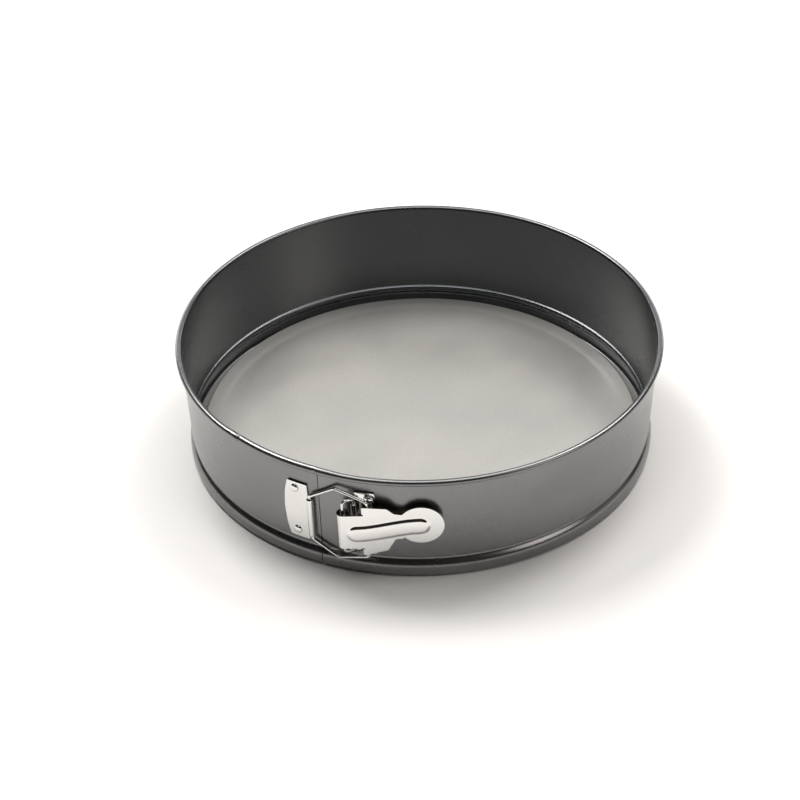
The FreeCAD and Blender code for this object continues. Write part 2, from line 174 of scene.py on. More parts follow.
# Rivets, each with a domed head on a short straight rim and, on the bracket, a flat tail inside.
RIVET_R = 1.5
RIVET_HEAD_R = 2.4
RIVET_HEAD = 1.2
RIVET_RIM = 0.12
RIVET_TAIL_R = 2.5
RIVET_TAIL = 0.45
RIVET_SIDES = 40
STRIKE_RIVETS = (-5.9, (13.4, -14.9))
BRACKET_RIVETS = (12.1, (16.0, -16.4))

# Grain of the materials, as scales of noise over a metre.
CLOUD_GRAIN = 18.0
PEEL_GRAIN = 900.0
FLAKE_GRAIN = 2600.0
WAVE_GRAIN = 160.0
HAZE_GRAIN = 420.0
PIT_GRAIN = 1500.0
FLOOR_GRAIN = 3.0

# Studio: the floor's half width and the softboxes' (width, height).
FLOOR_HALF = 3000.0
TOP_BOX = (1100, 1100)
HIGH_BOX = (660, 560)
MIDDLE_BOX = (650, 560)
LOW_BOX = (770, 560)


def polar(bearing, radius):
    a = math.radians(bearing)
    return Vector((radius * math.sin(a), radius * math.cos(a)))


def ease(t):
    t = min(max(t, 0.0), 1.0)
    return t * t * (3 - 2 * t)


def mix(a, b, t):
    return a + (b - a) * t


def lean(u, n, w):
    """Frame point, in metres, of a latch-frame point: u towards +X, n outward, w up along the wall."""
    point = Vector((u, -n, LATCH_Z + w))
    pivot = Vector((0, -WALL_R, LATCH_Z))
    turn = Matrix.Rotation(math.radians(WALL_LEAN), 3, "X")
    return (turn @ (point - pivot) + pivot) * MM


# ---------------------------------------------------------------- meshes

def new_object(name, verts, faces):
    mesh = bpy.data.meshes.new(name)
    mesh.from_pydata(verts, [], faces)
    mesh.validate()
    piece = bpy.data.objects.new(name, mesh)
    bpy.context.scene.collection.objects.link(piece)
    return piece


def smooth(piece, angle):
    piece.data.shade_smooth()
    piece.data.set_sharp_from_angle(angle=math.radians(angle))


def recalculate(piece):
    """Turn all faces outward."""
    bm = bmesh.new()
    bm.from_mesh(piece.data)
    bmesh.ops.recalc_face_normals(bm, faces=bm.faces)
    bm.to_mesh(piece.data)
    bm.free()


def trace(start, heading, steps, side):
    """Points along a path, moved sideways to its left.

    Steps are ("line", length), ("arc", radius, turn, points) or ("sway", length, offset, points),
    which glides offset to the left."""
    x, y = start
    points = []

    def add(px, py, direction):
        a = math.radians(direction)
        points.append((px - side * math.sin(a), py + side * math.cos(a)))

    add(x, y, heading)
    for step in steps:
        a = math.radians(heading)
        if step[0] == "line":
            x += step[1] * math.cos(a)
            y += step[1] * math.sin(a)
            add(x, y, heading)
        elif step[0] == "sway":
            _, length, offset, count = step
            for i in range(1, count + 1):
                t = i / count
                ahead, left = length * t, offset * ease(t)
                swing = math.degrees(math.atan(offset * 6 * t * (1 - t) / length))
                px = x + ahead * math.cos(a) - left * math.sin(a)
                py = y + ahead * math.sin(a) + left * math.cos(a)
                add(px, py, heading + swing)
            x, y = px, py
        else:
            _, radius, turn, count = step
            sign = 1.0 if turn > 0 else -1.0
            cx = x - sign * radius * math.sin(a)
            cy = y + sign * radius * math.cos(a)
            for i in range(1, count + 1):
                direction = heading + turn * i / count
                b = math.radians(direction)
                x = cx + sign * radius * math.sin(b)
                y = cy - sign * radius * math.cos(b)
                add(x, y, direction)
            heading += turn
    return points


def closed_section(start, heading, steps, inner, outer):
    """Closed outline of a bent strip: up its right side and back down its left."""
    right = trace(start, heading, steps, -outer)
    left = trace(start, heading, steps, inner)
    return right + left[::-1]


def revolve(name, bearings, section_at, capped=True):
    """Skin over the sections at a row of bearings.

    section_at(bearing) gives the section's (r, z) points, always the same number of them."""
    verts = []
    for bearing in bearings:
        a = math.radians(bearing)
        for r, z in section_at(bearing):
            verts.append((r * math.sin(a) * MM, -r * math.cos(a) * MM, z * MM))
    count = len(verts) // len(bearings)
    faces = []
    for i in range(len(bearings) - 1):
        for j in range(count):
            k = (j + 1) % count
            faces.append((i * count + j, i * count + k, (i + 1) * count + k, (i + 1) * count + j))
    if capped:
        half = count // 2
        for row, flip in ((0, False), (len(bearings) - 1, True)):
            for j in range(half - 1):
                cap = [row * count + k for k in (j, j + 1, count - 2 - j, count - 1 - j)]
                faces.append(cap[::-1] if flip else cap)
    piece = new_object(name, verts, faces)
    recalculate(piece)
    return piece


def spaced(first, last, step):
    count = max(1, round(abs(last - first) / step))
    return [first + (last - first) * i / count for i in range(count + 1)]


def join(pieces, name):
    """One object of several, in one mesh."""
    bm = bmesh.new()
    for piece in pieces:
        bm.from_mesh(piece.data)
        bpy.data.objects.remove(piece)
    mesh = bpy.data.meshes.new(name)
    bm.to_mesh(mesh)
    bm.free()
    joined = bpy.data.objects.new(name, mesh)
    bpy.context.scene.collection.objects.link(joined)
    return joined


# ---------------------------------------------------------------- band and base

def band_section(curl_r, curl_turn=RIM_CURL_TURN, neck=0.0, inset=0.0, crease=CRISP_CREASE, lip=True):
    """The band's closed section, from its bottom lip to its curled rim, which stands inward by neck."""
    tip_r, tip_turn, bend_r, flank_lean = crease
    foot = [("line", LIP_WIDTH), ("arc", FOOT_BEND_R, 90.0, 12)]
    body = [
        ("line", SKIRT_RISE),
        ("arc", SHOULDER_R, SHOULDER_TURN, 8),
        ("line", SHOULDER_RUN),
        ("arc", CREASE_IN_R, -SHOULDER_TURN, 8),
        ("arc", tip_r, -tip_turn, 10),
        ("arc", bend_r, tip_turn - flank_lean, 8),
        ("line", CREASE_RUN),
        ("arc", WALL_BEND_R, flank_lean - WALL_LEAN, 4),
    ]
    foot_start = (SKIRT_R - FOOT_BEND_R - LIP_WIDTH, SHEET / 2)
    body_start = (SKIRT_R, FOOT_BEND_R + SHEET / 2)
    reached = trace(body_start, 90.0, body, 0.0)[-1]
    wall = (RIM_Z - reached[1]) / math.cos(math.radians(WALL_LEAN)) - NECK_HEIGHT
    rim = [("line", wall), ("sway", NECK_HEIGHT, neck, 6), ("arc", curl_r, -curl_turn, RIM_POINTS)]
    inner, outer = SHEET / 2 + inset, SHEET / 2 - inset
    if lip:
        return closed_section(foot_start, 0.0, foot + body + rim, inner, outer)
    return closed_section(body_start, 90.0, body + rim, inner, outer)


def widening(bearing, edge):
    """How far the rim has widened to meet the overlap's edge: 1 at the edge, 0 at RIM_EASE from it."""
    return 1.0 - ease(abs(bearing - edge) / RIM_EASE)


def right_section(bearing):
    wide = widening(bearing, JOGGLE_START)
    return band_section(mix(RIM_CURL_R, WIDE_CURL_R, wide), neck=TONGUE_INSET * wide)


def left_section(bearing):
    """The left end's rim widens towards the overlap and there narrows to tuck into the tongue's."""
    wide = widening(bearing, TUCK_START) if bearing < TUCK_START else 1.0
    tucked = ease((bearing - TUCK_START) / (TUCK_END - TUCK_START))
    curl_r = mix(mix(RIM_CURL_R, WIDE_CURL_R, wide), TUCKED_CURL_R, tucked)
    return band_section(curl_r, neck=TONGUE_INSET * wide * (1 - tucked))


def tongue_section(bearing):
    """The right end past the joggle: the whole sheet moved inward, with the rim in line."""
    t = ease((JOGGLE_START - bearing) / (JOGGLE_START - JOGGLE_END))
    inset = TONGUE_INSET * t
    turn = mix(RIM_CURL_TURN, TONGUE_CURL_TURN, t)
    crease = [mix(crisp, soft, t) for crisp, soft in zip(CRISP_CREASE, SOFT_CREASE)]
    return band_section(WIDE_CURL_R - inset, turn, TONGUE_INSET - inset, inset, crease, lip=False)


def flatten_end_normals(piece):
    """At the back, where the two halves meet, normals lie in the section's plane, so that no line shows."""
    mesh = piece.data
    normals = [Vector(n.vector) for n in mesh.corner_normals]
    for loop in mesh.loops:
        point = mesh.vertices[loop.vertex_index].co
        if point.y > 0 and abs(point.x) < 1e-6:
            n = normals[loop.index]
            normals[loop.index] = Vector((0, n.y, n.z)).normalized()
    mesh.normals_split_custom_set(normals)


def make_band():
    """Two half rings that meet at the back, the right one running on as the tongue inside the left one."""
    left_back = spaced(-180.0, TUCK_START, BAND_STEP)
    tuck = spaced(TUCK_START, TUCK_END, 0.1)[1:]
    left = revolve("band_left_half", left_back + tuck + spaced(TUCK_END, 0.0, BAND_STEP)[1:], left_section)
    main = revolve("main", spaced(JOGGLE_START, 180.0, BAND_STEP), right_section)
    joggle = spaced(JOGGLE_START, JOGGLE_END, 0.03)
    tongue = revolve("tongue", joggle + spaced(JOGGLE_END, TONGUE_TIP, BAND_STEP)[1:], tongue_section)
    right = join([main, tongue], "band_right_half")
    for piece, body, node in ((left, "left_end", "band_left"), (right, "right_end", "band_right")):
        smooth(piece, 50)
        flatten_end_normals(piece)
        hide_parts(node, "band_back")
        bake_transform(piece)
    return [left, right]


def make_base():
    """The base disc, turned from its section; its middle is closed with one flat face on each side."""
    flat = BASE_R - FLOOR_R - BASE_INNER_BEND_R
    rise = FLOOR_Z - BASE_SHEET - BASE_Z - BASE_INNER_BEND_R - BASE_OUTER_BEND_R
    ring_turn = math.degrees(2 * math.atan(2 * FLOOR_RING_DROP / FLOOR_RING_WIDTH))
    ring_bend = FLOOR_RING_WIDTH / 2 / math.sin(math.radians(ring_turn))
    inner_floor = FLOOR_RING_R - FLOOR_RING_WIDTH / 2
    steps = [
        ("line", flat),
        ("arc", BASE_INNER_BEND_R, -90.0, 10),
        ("line", rise),
        ("arc", BASE_OUTER_BEND_R, 90.0, 10),
        ("line", FLOOR_R - BASE_OUTER_BEND_R - FLOOR_RING_R - FLOOR_RING_WIDTH / 2),
        ("arc", ring_bend, ring_turn, 6),
        ("arc", ring_bend, -ring_turn, 6),
        ("line", inner_floor * 0.5),
        ("line", inner_floor * 0.5 - FLOOR_MIDDLE_R),
    ]
    start = (BASE_R, BASE_Z + BASE_SHEET / 2)
    section = closed_section(start, 180.0, steps, BASE_SHEET / 2, BASE_SHEET / 2)
    piece = revolve("base_disc", spaced(0.0, 360.0, BAND_STEP), lambda bearing: section, capped=False)
    bm = bmesh.new()
    bm.from_mesh(piece.data)
    bmesh.ops.remove_doubles(bm, verts=bm.verts, dist=1e-7)
    middle_r = (FLOOR_MIDDLE_R + 0.1) * MM
    middle = [face for face in bm.faces if all(v.co.xy.length < middle_r for v in face.verts)]
    bmesh.ops.delete(bm, geom=middle, context="FACES")
    open_edges = [e for e in bm.edges if e.is_boundary]
    bmesh.ops.holes_fill(bm, edges=open_edges)
    bmesh.ops.recalc_face_normals(bm, faces=bm.faces)
    bm.to_mesh(piece.data)
    bm.free()
    smooth(piece, 40)
    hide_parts("base_plate")
    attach(piece, "pan_back")
    return [piece]


# ---------------------------------------------------------------- pressed latch pieces

def rounded(corners, steps=6):
    """Outline through (x, y, radius) corners, each rounded to its radius."""
    outline = []
    for i in range(len(corners)):
        x, y, radius = corners[i]
        corner = Vector((x, y))
        back = Vector(corners[i - 1][:2]) - corner
        ahead = Vector(corners[(i + 1) % len(corners)][:2]) - corner
        if radius <= 0:
            outline.append(corner)
            continue
        half = back.angle(ahead) / 2
        reach = min(radius / math.tan(half), 0.49 * back.length, 0.49 * ahead.length)
        radius = reach * math.tan(half)
        back.normalize()
        ahead.normalize()
        centre = corner + (back + ahead).normalized() * (radius / math.sin(half))
        first = corner + back * reach - centre
        last = corner + ahead * reach - centre
        turn = first.angle_signed(last)
        for k in range(steps + 1):
            arm = first.copy()
            arm.rotate(Matrix.Rotation(-turn * k / steps, 2))
            outline.append(centre + arm)
    return outline


def inside(point, outline):
    """Whether a point lies within an outline, by counting the sides to its right."""
    hit = False
    for i in range(len(outline)):
        a = outline[i - 1]
        b = outline[i]
        if (a.y > point.y) != (b.y > point.y):
            if point.x < a.x + (point.y - a.y) / (b.y - a.y) * (b.x - a.x):
                hit = not hit
    return hit


def near_outline(point, outline, distance):
    """Whether a point lies within a distance of an outline."""
    for i in range(len(outline)):
        a = outline[i - 1]
        side = outline[i] - a
        t = min(max((point - a).dot(side) / max(side.length_squared, 1e-12), 0.0), 1.0)
        if (a + side * t - point).length < distance:
            return True
    return False


def flat_sheet(outline, grid):
    """Triangles that fill an outline, with points on a grid inside it."""
    points = []
    for i in range(len(outline)):
        side = outline[i] - outline[i - 1]
        count = max(1, round(side.length / grid))
        for k in range(count):
            points.append(outline[i - 1] + side * (k / count))
    border = len(points)
    low_x = min(p.x for p in outline)
    high_x = max(p.x for p in outline)
    low_y = min(p.y for p in outline)
    high_y = max(p.y for p in outline)
    for i in range(int((high_x - low_x) / grid) + 1):
        for k in range(int((high_y - low_y) / grid) + 1):
            point = Vector((low_x + (i + 0.5 * (k % 2)) * grid, low_y + k * grid))
            if inside(point, outline) and not near_outline(point, outline, 0.55 * grid):
                points.append(point)
    edges = [(i, (i + 1) % border) for i in range(border)]
    verts, _, faces, _, _, _ = delaunay_2d_cdt(points, edges, [], 1, 1e-6)
    return verts, faces


def pressed(name, outline, place, thickness, grid, edge_round):
    """A pressed sheet: its flat pattern bent by place(s, w), thickened, with its edges rounded."""
    verts, faces = flat_sheet(outline, grid)
    piece = new_object(name, [place(v.x, v.y) for v in verts], faces)
    recalculate(piece)
    thick = piece.modifiers.new("sheet", "SOLIDIFY")
    thick.thickness = thickness * MM
    thick.offset = 0.0
    thick.use_even_offset = True
    thick.use_quality_normals = True
    edge = piece.modifiers.new("edge", "BEVEL")
    edge.width = edge_round * MM
    edge.segments = 3
    edge.limit_method = "ANGLE"
    edge.angle_limit = math.radians(55)
    apply_modifiers(piece)
    smooth(piece, 40)
    return piece


def apply_modifiers(piece):
    graph = bpy.context.evaluated_depsgraph_get()
    final = bpy.data.meshes.new_from_object(piece.evaluated_get(graph))
    piece.modifiers.clear()
    piece.data = final


def eye_place(eye, wire_r, side):
    """Bends a flat plate round the wall and rolls its near edge round a wire.

    The roll begins at s = 0. side is +1 where s grows towards +X and -1 where it grows the other way."""
    roll_r = wire_r + PIN_PLAY + EYE_SHEET / 2
    back_r = eye[1] - roll_r
    plate_r = WALL_R + SEAT_GAP + EYE_SHEET / 2
    centre = polar(eye[0], eye[1])
    radial = polar(eye[0], 1.0)
    tangent = Vector((radial.y, -radial.x)) * side

    def place(s, w):
        if s <= 0:
            bearing = eye[0] + side * math.degrees(s / back_r)
            u, n = polar(bearing, mix(back_r, plate_r, ease(-s / SEAT_RUN)))
        else:
            a = s / roll_r
            u, n = centre + roll_r * (tangent * math.sin(a) - radial * math.cos(a))
        return lean(u, n, w)
    return place


def eye_end(wire_r):
    """Length of sheet that rolls round a wire."""
    return math.radians(EYE_TURN) * (wire_r + PIN_PLAY + EYE_SHEET / 2)


def make_strike_plate():
    """The plate on the left end, with a curved far edge and a rolled eye for the bail."""
    end = eye_end(BAIL_WIRE_R)
    top, bottom = STRIKE_SPAN
    eye_top, eye_bottom = STRIKE_EYE_SPAN
    outline = rounded([
        (STRIKE_FAR, top, 0.6),
        (STRIKE_STEP, top, 0.5),
        (STRIKE_STEP + 0.4, eye_top, 0.4),
        (end, eye_top, 0.15),
        (end, eye_bottom, 0.15),
        (STRIKE_STEP + 0.3, eye_bottom, 0.4),
        (STRIKE_STEP - 0.3, bottom, 0.6),
        (STRIKE_FAR, bottom, 0.6),
        (STRIKE_FAR - STRIKE_BULGE * 2 / 3, -12.0, 20.0),
        (STRIKE_FAR - STRIKE_BULGE, -1.0, 30.0),
        (STRIKE_FAR - STRIKE_BULGE * 2 / 3, 10.0, 20.0),
    ])
    place = eye_place(BAIL_EYE, BAIL_WIRE_R, 1)
    piece = pressed("strike_plate_sheet", outline, place, EYE_SHEET, PLATE_GRID, PLATE_EDGE_R)
    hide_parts("strike_plate")
    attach(piece, "left_end")
    return piece


def make_bracket():
    """The plate on the right end, with a rolled eye for the link between two ears."""
    end = eye_end(LINK_WIRE_R)
    top, bottom = BRACKET_SPAN
    eye_top, eye_bottom = BRACKET_EYE_SPAN
    ear_top = top - BRACKET_EAR_HEIGHT
    ear_bottom = bottom + BRACKET_EAR_HEIGHT
    outline = rounded([
        (BRACKET_FAR, top, 0.6),
        (BRACKET_EAR, top, 0.5),
        (BRACKET_EAR, ear_top, 0.3),
        (BRACKET_SLOT, ear_top, 0.3),
        (BRACKET_SLOT, eye_top, 0.3),
        (end, eye_top, 0.15),
        (end, eye_bottom, 0.15),
        (BRACKET_SLOT, eye_bottom, 0.3),
        (BRACKET_SLOT, ear_bottom, 0.3),
        (BRACKET_EAR, ear_bottom, 0.3),
        (BRACKET_EAR, bottom, 0.5),
        (BRACKET_FAR, bottom, 0.6),
        (BRACKET_FAR - BRACKET_BULGE * 3 / 4, -10.5, 20.0),
        (BRACKET_FAR - BRACKET_BULGE, -0.2, 30.0),
        (BRACKET_FAR - BRACKET_BULGE * 3 / 4, 10.0, 20.0),
    ])
    place = eye_place(LINK_EYE, LINK_WIRE_R, -1)
    piece = pressed("bracket_sheet", outline, place, EYE_SHEET, PLATE_GRID, PLATE_EDGE_R)
    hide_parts("bracket")
    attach(piece, "right_end")
    return piece


# ---------------------------------------------------------------- lever

def lever_axes():
    """Pin point, direction towards the tab, outward direction and distance to the tab, all in plan."""
    pin = polar(*LEVER_PIN)
    reach = polar(*TAB_POINT) - pin
    straight = math.atan2(reach.y, reach.x)
    angle = straight - math.asin(LEVER_FACE / reach.length)
    along = Vector((math.cos(angle), math.sin(angle)))
    outward = Vector((-along.y, along.x))
    return pin, along, outward, math.sqrt(reach.length_squared - LEVER_FACE ** 2)


def rib_rise(s, w):
    """Height of the S-shaped rib over the sheet at (s, w)."""
    t = min(max((s - RIB_START) / (RIB_END - RIB_START), 0.0), 1.0)
    centre = Vector((min(max(s, RIB_START), RIB_END), mix(RIB_LOW, RIB_HIGH, ease(t))))
    slope = (RIB_HIGH - RIB_LOW) / (RIB_END - RIB_START) * 6 * t * (1 - t)
    away = Vector((s, w)) - centre
    distance = away.length / math.sqrt(1 + slope * slope) if 0 < t < 1 else away.length
    flank = ease((RIB_BASE_HALF - distance) / (RIB_BASE_HALF - RIB_CROWN_HALF))
    crown = RIB_CROWN * max(0.0, 1 - (distance / RIB_CROWN_HALF) ** 2)
    return RIB_HEIGHT * flank + crown


def lever_place(s, w):
    """Bends the lever's flat pattern: a roll round the link at s < 0, and lips that turn inward
    where the wings start."""
    pin, along, outward, _ = lever_axes()
    if s < WING_START + LIP_BEND_R and not BODY_BOTTOM - LIP_MARGIN < w < BODY_TOP + LIP_MARGIN:
        back = WING_START + LIP_BEND_R - s
        a = min(back / LIP_BEND_R, math.pi / 2)
        x = WING_START + LIP_BEND_R - LIP_BEND_R * math.sin(a)
        y = LEVER_FACE - LIP_BEND_R * (1 - math.cos(a)) - max(0.0, back - LIP_BEND_R * math.pi / 2)
    elif s >= 0:
        x = s
        y = LEVER_FACE + rib_rise(s, w)
    else:
        a = -s / LEVER_FACE
        x = -LEVER_FACE * math.sin(a)
        y = LEVER_FACE * math.cos(a)
    point = pin + along * x + outward * y
    return lean(point.x, point.y, w)


def lever_outline():
    """Flat pattern: the roll's strip and the body, two wings with lips, the neck and the round tab."""
    reach = lever_axes()[3]
    roll_end = -math.radians(ROLL_TURN) * LEVER_FACE
    lip_end = WING_START + LIP_BEND_R - LIP_BEND_R * math.pi / 2 - LIP_DEPTH + LIP_BEND_R
    tab = []
    for k in range(TAB_POINTS):
        a = math.radians(TAB_OPENING * (1 - 2 * k / (TAB_POINTS - 1)))
        tab.append((reach + TAB_R * math.cos(a), TAB_HEIGHT + TAB_R * math.sin(a), 0.0))
    notch = WING_START + BODY_NOTCH
    upper = [
        (roll_end, BODY_TOP, 0.2),
        (notch, BODY_TOP, 0.5),
        (notch, BODY_TOP + BODY_NOTCH, 0.4),
        (lip_end, BODY_TOP + BODY_NOTCH, 0.3),
        (lip_end, WING_TOP - 0.6, 0.5),
        (WING_START + 1.4, WING_TOP, 0.8),
        (22.5, 13.9, 1.2),
        (26.2, 10.4, 2.5),
        (30.2, 9.7, 1.0),
    ]
    lower = [
        (30.6, -6.2, 1.0),
        (26.6, -6.4, 2.5),
        (22.5, -14.1, 1.2),
        (WING_START + 1.4, WING_BOTTOM, 0.8),
        (lip_end, WING_BOTTOM + 0.6, 0.5),
        (lip_end, BODY_BOTTOM - BODY_NOTCH, 0.3),
        (notch, BODY_BOTTOM - BODY_NOTCH, 0.4),
        (notch, BODY_BOTTOM, 0.5),
        (roll_end, BODY_BOTTOM, 0.2),
    ]
    return rounded(upper + tab + lower)


def make_lever():
    piece = pressed("lever_pressing", lever_outline(), lever_place, LEVER_SHEET, LEVER_GRID, LEVER_EDGE_R)
    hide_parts("lever")
    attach(piece, "latch_lever")
    return piece


# ---------------------------------------------------------------- wires and rivets

def bent_loop(corners, bend_r, steps=10):
    """Points of a closed line with rounded corners."""
    points = []
    for i in range(len(corners)):
        corner = corners[i]
        back = corners[i - 1] - corner
        ahead = corners[(i + 1) % len(corners)] - corner
        half = back.angle(ahead) / 2
        reach = bend_r / math.tan(half)
        back.normalize()
        ahead.normalize()
        centre = corner + (back + ahead).normalized() * (bend_r / math.sin(half))
        first = corner + back * reach - centre
        last = corner + ahead * reach - centre
        axis = first.cross(last)
        turn = first.angle(last)
        for k in range(steps + 1):
            points.append(centre + Matrix.Rotation(turn * k / steps, 3, axis) @ first)
    return points


def wire(name, points, radius, sides=20):
    """Round tube along a closed planar line."""
    count = len(points)
    normal = Vector((0, 0, 0))
    for i in range(count):
        normal += points[i - 1].cross(points[i])
    normal.normalize()
    verts = []
    for i in range(count):
        along = (points[(i + 1) % count] - points[i]).normalized() + (points[i] - points[i - 1]).normalized()
        across = along.normalized().cross(normal)
        for k in range(sides):
            a = 2 * math.pi * k / sides
            verts.append(points[i] + radius * (math.cos(a) * across + math.sin(a) * normal))
    faces = []
    for i in range(count):
        for k in range(sides):
            m = (k + 1) % sides
            j = (i + 1) % count
            faces.append((i * sides + k, i * sides + m, j * sides + m, j * sides + k))
    piece = new_object(name, verts, faces)
    recalculate(piece)
    piece.data.shade_smooth()
    return piece


def latch_loop(name, line, wire_r):
    """A wire along its upper heights and back along its lower ones, from a line of plan points with spans."""
    upper = [lean(point.x, point.y, span[0]) for point, span in line]
    lower = [lean(point.x, point.y, span[1]) for point, span in reversed(line)]
    return wire(name, bent_loop(upper + lower, WIRE_BEND_R * MM), wire_r * MM)


def make_bail():
    """The six-sided wire loop from the strike plate's eye to behind the lever's wings."""
    pin, along, outward, _ = lever_axes()
    eye = polar(*BAIL_EYE)
    hook = pin + along * HOOK_AT + outward * (LEVER_FACE - HOOK_DEPTH - BAIL_WIRE_R - PIN_PLAY)
    wide = eye + (hook - eye).normalized() * BAIL_WIDE_AT
    line = [(eye, BAIL_EYE_SPAN), (wide, BAIL_WIDE_SPAN), (hook, BAIL_END_SPAN)]
    piece = latch_loop("bail_wire", line, BAIL_WIRE_R)
    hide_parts("bail")
    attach(piece, "latch_bail")
    return piece


def make_link():
    """The small upright wire loop between the bracket's eye and the lever's roll."""
    line = [(polar(*LINK_EYE), LINK_EYE_SPAN), (polar(*LEVER_PIN), LINK_PIN_SPAN)]
    piece = latch_loop("link_wire", line, LINK_WIRE_R)
    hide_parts("link")
    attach(piece, "latch_link")
    return piece


def rivet(name, bearing, height, tail):
    """A domed rivet turned about its own axis, with a flat tail inside where there is room."""
    outside = WALL_R + SEAT_GAP + EYE_SHEET
    inner = WALL_R - SHEET
    profile = [(0.0, inner)]
    if tail:
        end = inner - RIVET_TAIL
        profile = [(0.0, end), (RIVET_TAIL_R - 0.2, end), (RIVET_TAIL_R, end + 0.15), (RIVET_TAIL_R, inner)]
    profile += [(RIVET_R, inner), (RIVET_R, outside), (RIVET_HEAD_R - 0.1, outside)]
    rim = outside + RIVET_RIM
    for k in range(9):
        a = math.pi / 2 * k / 8
        profile.append((RIVET_HEAD_R * math.cos(a), rim + (RIVET_HEAD - RIVET_RIM) * math.sin(a)))
    verts = []
    turn = Matrix.Rotation(math.radians(bearing), 3, "Z")
    for radius, n in profile:
        for k in range(RIVET_SIDES):
            a = 2 * math.pi * k / RIVET_SIDES
            verts.append(turn @ lean(radius * math.cos(a), n, height + radius * math.sin(a)))
    faces = []
    for i in range(len(profile) - 1):
        ring = i * RIVET_SIDES
        above = ring + RIVET_SIDES
        for k in range(RIVET_SIDES):
            m = (k + 1) % RIVET_SIDES
            faces.append((ring + k, ring + m, above + m, above + k))
    piece = new_object(name + "_turned", verts, faces)
    bm = bmesh.new()
    bm.from_mesh(piece.data)
    bmesh.ops.remove_doubles(bm, verts=bm.verts, dist=1e-6)
    bmesh.ops.recalc_face_normals(bm, faces=bm.faces)
    bm.to_mesh(piece.data)
    bm.free()
    smooth(piece, 40)
    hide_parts(name)
    return piece


def make_rivets():
    made = []
    for name, (bearing, heights), body, tail in (
        ("strike_rivet", STRIKE_RIVETS, "left_end", False),
        ("bracket_rivet", BRACKET_RIVETS, "right_end", True),
    ):
        for place, height in zip(("upper", "lower"), heights):
            piece = rivet(name + "_" + place, bearing, height, tail)
            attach(piece, body)
            made.append(piece)
    return made


# ---------------------------------------------------------------- materials

def new_material(name):
    material = bpy.data.materials.new(name)
    material.use_nodes = True
    nodes = material.node_tree.nodes
    links = material.node_tree.links
    shader = nodes["Principled BSDF"]
    coordinates = nodes.new("ShaderNodeTexCoord")
    return material, nodes, links, shader, coordinates.outputs["Object"]


def noise(nodes, links, place, scale, detail, roughness=0.5):
    node = nodes.new("ShaderNodeTexNoise")
    node.inputs["Scale"].default_value = scale
    node.inputs["Detail"].default_value = detail
    node.inputs["Roughness"].default_value = roughness
    links.new(place, node.inputs["Vector"])
    return node.outputs["Fac"]


def ramp(nodes, links, value, low, high, first, last):
    """Map value from low..high to first..last, held at the ends."""
    node = nodes.new("ShaderNodeMapRange")
    node.inputs["From Min"].default_value = low
    node.inputs["From Max"].default_value = high
    node.inputs["To Min"].default_value = first
    node.inputs["To Max"].default_value = last
    links.new(value, node.inputs["Value"])
    return node.outputs["Result"]


def shade(nodes, links, value, dark, light):
    node = nodes.new("ShaderNodeMix")
    node.data_type = "RGBA"
    node.inputs["A"].default_value = (*dark, 1)
    node.inputs["B"].default_value = (*light, 1)
    links.new(value, node.inputs["Factor"])
    return node.outputs["Result"]


def bump(nodes, links, shader, height, distance, strength, below=None):
    node = nodes.new("ShaderNodeBump")
    node.inputs["Strength"].default_value = strength
    node.inputs["Distance"].default_value = distance * MM
    links.new(height, node.inputs["Height"])
    if below is not None:
        links.new(below, node.inputs["Normal"])
    links.new(node.outputs["Normal"], shader.inputs["Normal"])
    return node.outputs["Normal"]


def outside_mask(nodes, links, place):
    """1 on faces that look away from the pan's axis, 0 on faces that look towards it; it marks where the
    painted shade inside the pan goes.
    """
    flat = nodes.new("ShaderNodeVectorMath")
    flat.operation = "MULTIPLY"
    flat.inputs[1].default_value = (1.0, 1.0, 0.0)
    links.new(place, flat.inputs[0])
    facing = nodes.new("ShaderNodeVectorMath")
    facing.operation = "DOT_PRODUCT"
    links.new(flat.outputs["Vector"], facing.inputs[0])
    links.new(nodes.new("ShaderNodeNewGeometry").outputs["Normal"], facing.inputs[1])
    return ramp(nodes, links, facing.outputs["Value"], -0.03, 0.03, 0.0, 1.0)


def coating(name, dark, light, rough, metallic, inner_shade_tint=None):
    """Dark grey non-stick coating: metallic satin with fine flakes, orange peel and faint cloudiness.

    On faces towards the axis, the pan's inside, the colour is multiplied by a darker, cooler tint: painted
    shade."""
    material, nodes, links, shader, place = new_material(name)
    cloud = noise(nodes, links, place, CLOUD_GRAIN, 4.0)
    flakes = noise(nodes, links, place, FLAKE_GRAIN, 2.0, 0.7)
    peel = noise(nodes, links, place, PEEL_GRAIN, 2.0)
    mixed = nodes.new("ShaderNodeMath")
    mixed.operation = "MULTIPLY_ADD"
    links.new(ramp(nodes, links, flakes, 0.35, 0.68, 0.0, 1.0), mixed.inputs[0])
    mixed.inputs[1].default_value = 0.55
    links.new(ramp(nodes, links, cloud, 0.3, 0.7, 0.1, 0.4), mixed.inputs[2])
    colour = shade(nodes, links, mixed.outputs[0], dark, light)
    # Painted shade: the band's inside is darkened and cooled by the tint.
    if inner_shade_tint:
        tint = shade(nodes, links, outside_mask(nodes, links, place), inner_shade_tint, (1.0, 1.0, 1.0))
        scaled = nodes.new("ShaderNodeVectorMath")
        scaled.operation = "MULTIPLY"
        links.new(colour, scaled.inputs[0])
        links.new(tint, scaled.inputs[1])
        colour = scaled.outputs["Vector"]
    links.new(colour, shader.inputs["Base Color"])
    links.new(ramp(nodes, links, cloud, 0.3, 0.7, *rough), shader.inputs["Roughness"])
    shader.inputs["Metallic"].default_value = metallic
    below = bump(nodes, links, shader, peel, 0.02, 0.35)
    bump(nodes, links, shader, flakes, 0.006, 0.3, below)
    return material


